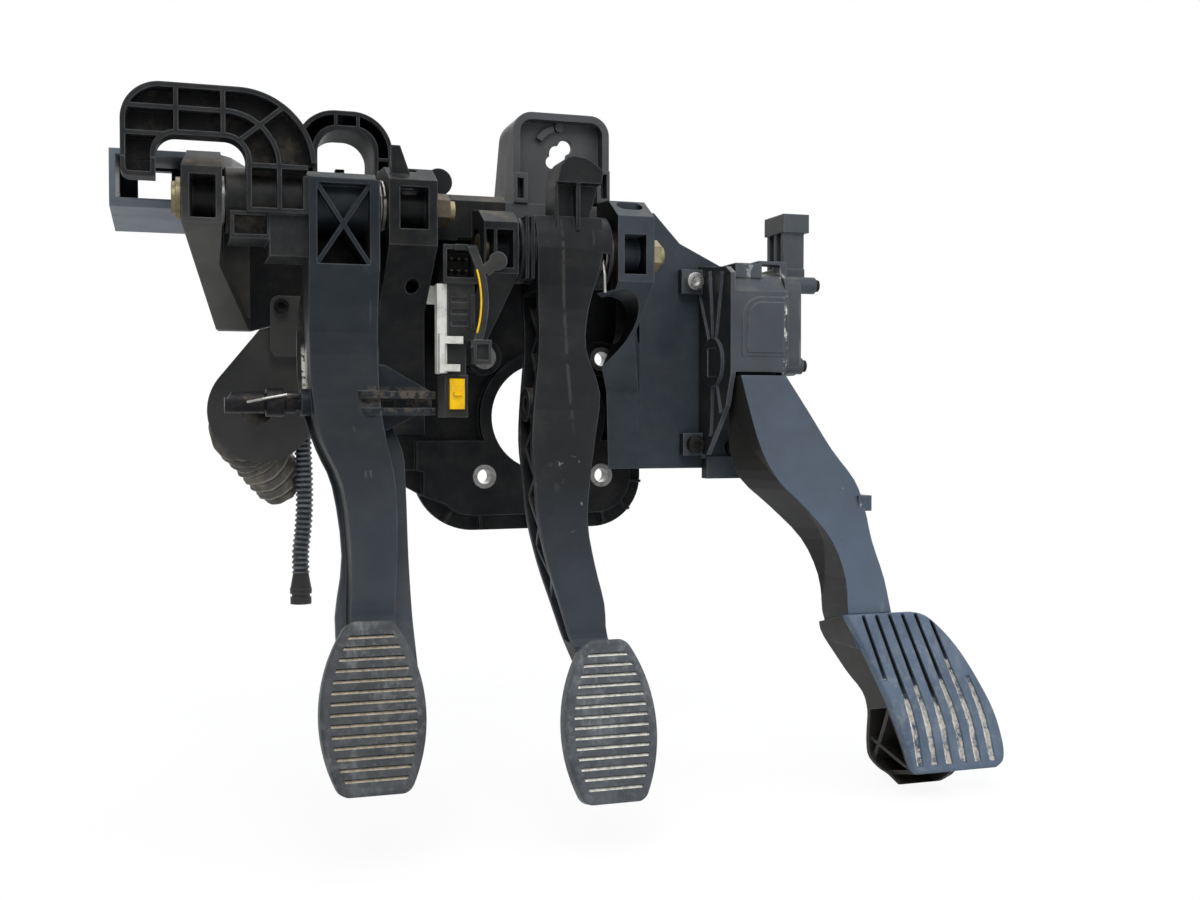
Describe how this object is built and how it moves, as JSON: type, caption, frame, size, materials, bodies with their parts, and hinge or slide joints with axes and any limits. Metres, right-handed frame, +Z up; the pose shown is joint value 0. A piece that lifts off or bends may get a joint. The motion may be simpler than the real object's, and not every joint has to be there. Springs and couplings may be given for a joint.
{
  "type": "pedal box",
  "caption": "Car pedal box: ribbed plastic bracket with hinged clutch, brake and accelerator pedals, clutch cylinder and hose, pedal switch and accelerator sensor.",
  "frame": {"origin": "centre of the servo opening on the firewall mounting face", "axes": "+X to the right as the driver sees it, +Y forward through the firewall, +Z up"},
  "size_m": [0.4547, 0.2867, 0.3685],
  "materials": {
    "bracket_plastic": "satin",
    "pedal_plastic": "satin",
    "pad_rubber": "matte",
    "soft_rubber": "matte",
    "bright_steel": "satin",
    "zinc_steel": "satin",
    "brown_steel": "matte",
    "dark_steel": "satin",
    "bush_plastic": "satin",
    "white_plastic": "satin",
    "yellow_plastic": "satin",
    "contact_metal": "satin",
    "board": "satin",
    "piston_metal": "satin"
  },
  "bodies": {
    "bracket": {"firewall_plate": "bracket_plastic", "clutch_cheek": "bracket_plastic", "side_tray": "bracket_plastic", "upper_arch": "bracket_plastic", "centre_wall": "bracket_plastic", "brake_saddle": "bracket_plastic", "upper_tower": "bracket_plastic", "brake_ear": "bracket_plastic", "side_plate": "bracket_plastic", "flange_bushes": "bright_steel", "clutch_bolt": "zinc_steel", "clutch_nut": "brown_steel", "clutch_sleeve": "bright_steel", "clutch_washers": "bright_steel", "clutch_spring": "bright_steel", "clutch_cylinder": "bracket_plastic", "cylinder_plate": "bracket_plastic", "cylinder_screws": "bright_steel", "cylinder_boot": "soft_rubber", "hose_adaptor": "bracket_plastic", "feed_hose": "soft_rubber", "hose_fitting": "bracket_plastic", "brake_bolt": "zinc_steel", "brake_nut": "zinc_steel", "brake_sleeve": "bright_steel", "brake_washers": "bright_steel", "brake_spring": "bright_steel", "switch_body": "bracket_plastic", "switch_terminals": "contact_metal", "switch_lock": "white_plastic", "switch_cage": "bracket_plastic", "switch_leaf": "bracket_plastic", "accel_housing": "bracket_plastic", "accel_cover": "bracket_plastic", "accel_pins": "contact_metal", "cover_screws": "bright_steel", "fixing_screws": "bright_steel", "sensor_board": "board", "accel_springs": "bright_steel"},
    "clutch_pedal": {"clutch_hook": "pedal_plastic", "hook_finger": "pedal_plastic", "clutch_arm": "pedal_plastic", "clutch_pad": "pad_rubber", "clutch_bushes": "bush_plastic", "link_pin": "dark_steel", "pin_clip": "bright_steel"},
    "clutch_rod": {"pushrod": "bright_steel"},
    "clutch_plunger": {"clutch_piston": "piston_metal"},
    "brake_pedal": {"brake_arm": "pedal_plastic", "brake_pad": "pad_rubber", "brake_bushes": "bush_plastic"},
    "accel_pedal": {"accel_arm": "pedal_plastic", "accel_pad": "pad_rubber", "accel_shaft": "dark_steel", "accel_rotor": "dark_steel"},
    "switch_plunger": {"switch_slider": "yellow_plastic"}
  },
  "joints": [
    {"name": "clutch_hinge", "type": "hinge", "parent": "bracket", "child": "clutch_pedal", "pos_m": [-0.149, -0.11, 0.104], "axis": [1, 0, 0], "range_deg": [0, 24], "stiffness_Nm_per_rad": 8, "springref_deg": -14.32},
    {"name": "rod_pivot", "type": "hinge", "parent": "clutch_pedal", "child": "clutch_rod", "pos_m": [-0.165, -0.128, 0.0066], "axis": [1, 0, 0], "range_deg": [-24.5, 0]},
    {"name": "piston_slide", "type": "slide", "parent": "bracket", "child": "clutch_plunger", "axis": [0, 1, 0], "range_m": [0, 0.0415]},
    {"name": "brake_hinge", "type": "hinge", "parent": "bracket", "child": "brake_pedal", "pos_m": [-0.0175, -0.105, 0.086], "axis": [1, 0, 0], "range_deg": [0, 18], "stiffness_Nm_per_rad": 10, "springref_deg": -14.32},
    {"name": "accel_hinge", "type": "hinge", "parent": "bracket", "child": "accel_pedal", "pos_m": [0.103, -0.074, 0.031], "axis": [1, 0, 0], "range_deg": [0, 17], "stiffness_Nm_per_rad": 13.5, "springref_deg": -17.19, "deforming": ["accel_springs"]},
    {"name": "switch_travel", "type": "slide", "parent": "bracket", "child": "switch_plunger", "axis": [0, 1, 0], "range_m": [0, 0.005], "stiffness_N_per_m": 400, "springref_m": -0.005}
  ],
  "couplings": [
    {"joint": "rod_pivot", "follows": "clutch_hinge", "ratio": -1},
    {"joint": "piston_slide", "follows": "clutch_hinge", "m_per_rad": 0.0984}
  ]
}
